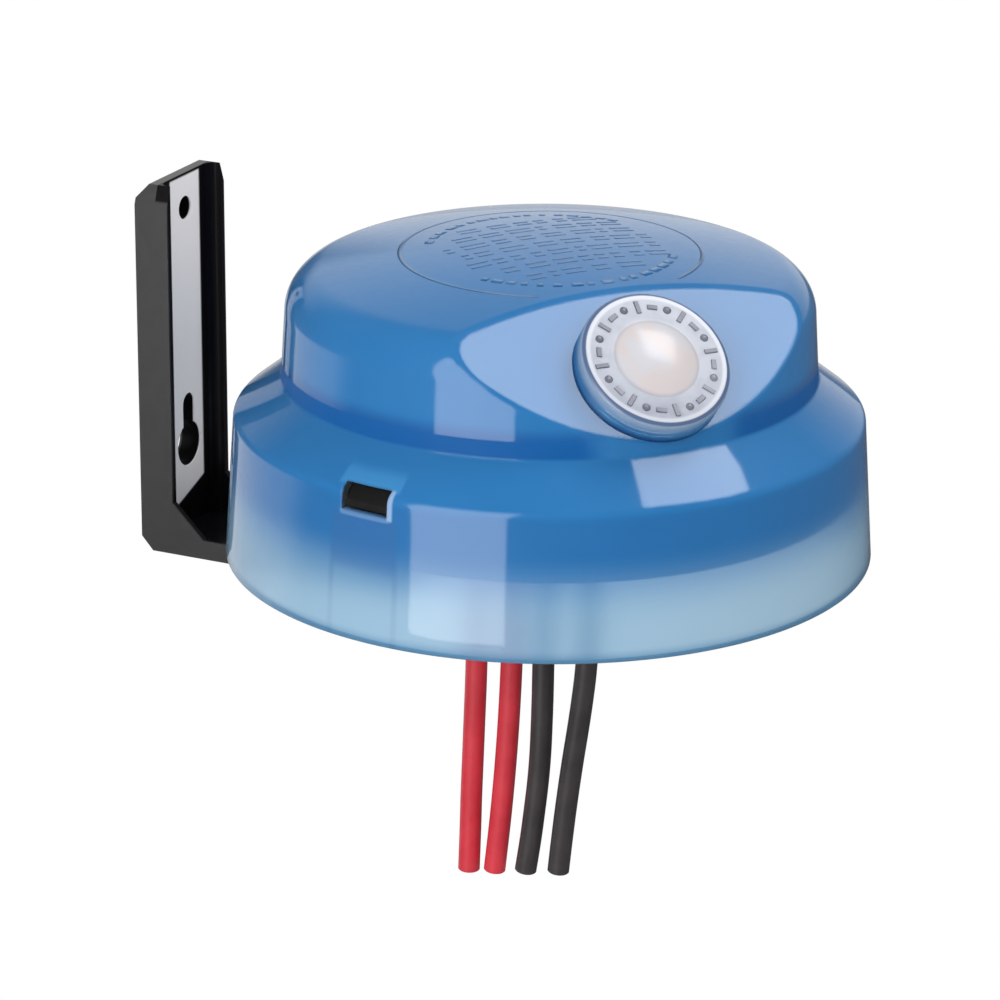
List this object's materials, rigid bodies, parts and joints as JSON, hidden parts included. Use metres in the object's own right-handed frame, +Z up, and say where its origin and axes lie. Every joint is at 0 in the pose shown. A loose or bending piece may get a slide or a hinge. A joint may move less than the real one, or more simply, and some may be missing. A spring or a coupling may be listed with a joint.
{
  "type": "photocell switch",
  "caption": "Outdoor photocell switch: stepped translucent blue dome with a clear lens on a slanted facet, black L-shaped wall bracket and free leads below.",
  "frame": {"origin": "on the bracket's wall face, on its centre line, at the level of the cover's lower rim", "axes": "+X away from the wall towards the cover's axis, +Z up, +Y to the left when looking from the wall"},
  "size_m": [0.094, 0.08, 0.0876],
  "materials": {
    "blue_translucent": "gloss",
    "clear_lens": "gloss",
    "black_plastic": "satin",
    "black_rubber": "matte",
    "white_plastic": "satin",
    "sensor_ceramic": "satin",
    "screw_steel": "satin",
    "board_laminate": "satin",
    "relay_case": "gloss",
    "capacitor_case": "gloss",
    "can_sleeve": "gloss",
    "varistor_coat": "gloss",
    "component_black": "satin",
    "zener_glass": "gloss",
    "resistor_coat": "satin",
    "red_insulation": "satin",
    "black_insulation": "satin"
  },
  "bodies": {
    "root": {"cover": "blue_translucent", "lens": "clear_lens", "lens_seal": "black_rubber", "sensor_holder": "white_plastic", "photocell": "sensor_ceramic", "base": "black_plastic", "base_seal": "black_rubber", "lead_grommet": "black_rubber", "bracket": "black_plastic", "bracket_screws": "screw_steel", "circuit_board": "board_laminate", "board_screws": "screw_steel", "relay": "relay_case", "film_capacitor": "capacitor_case", "electrolytic_capacitor": "can_sleeve", "varistor": "varistor_coat", "rectifier_diodes": "component_black", "zener_diode": "zener_glass", "resistors": "resistor_coat", "transistor": "component_black", "lead_red_1": "red_insulation", "lead_red_2": "red_insulation", "lead_black_1": "black_insulation", "lead_black_2": "black_insulation"}
  },
  "joints": []
}
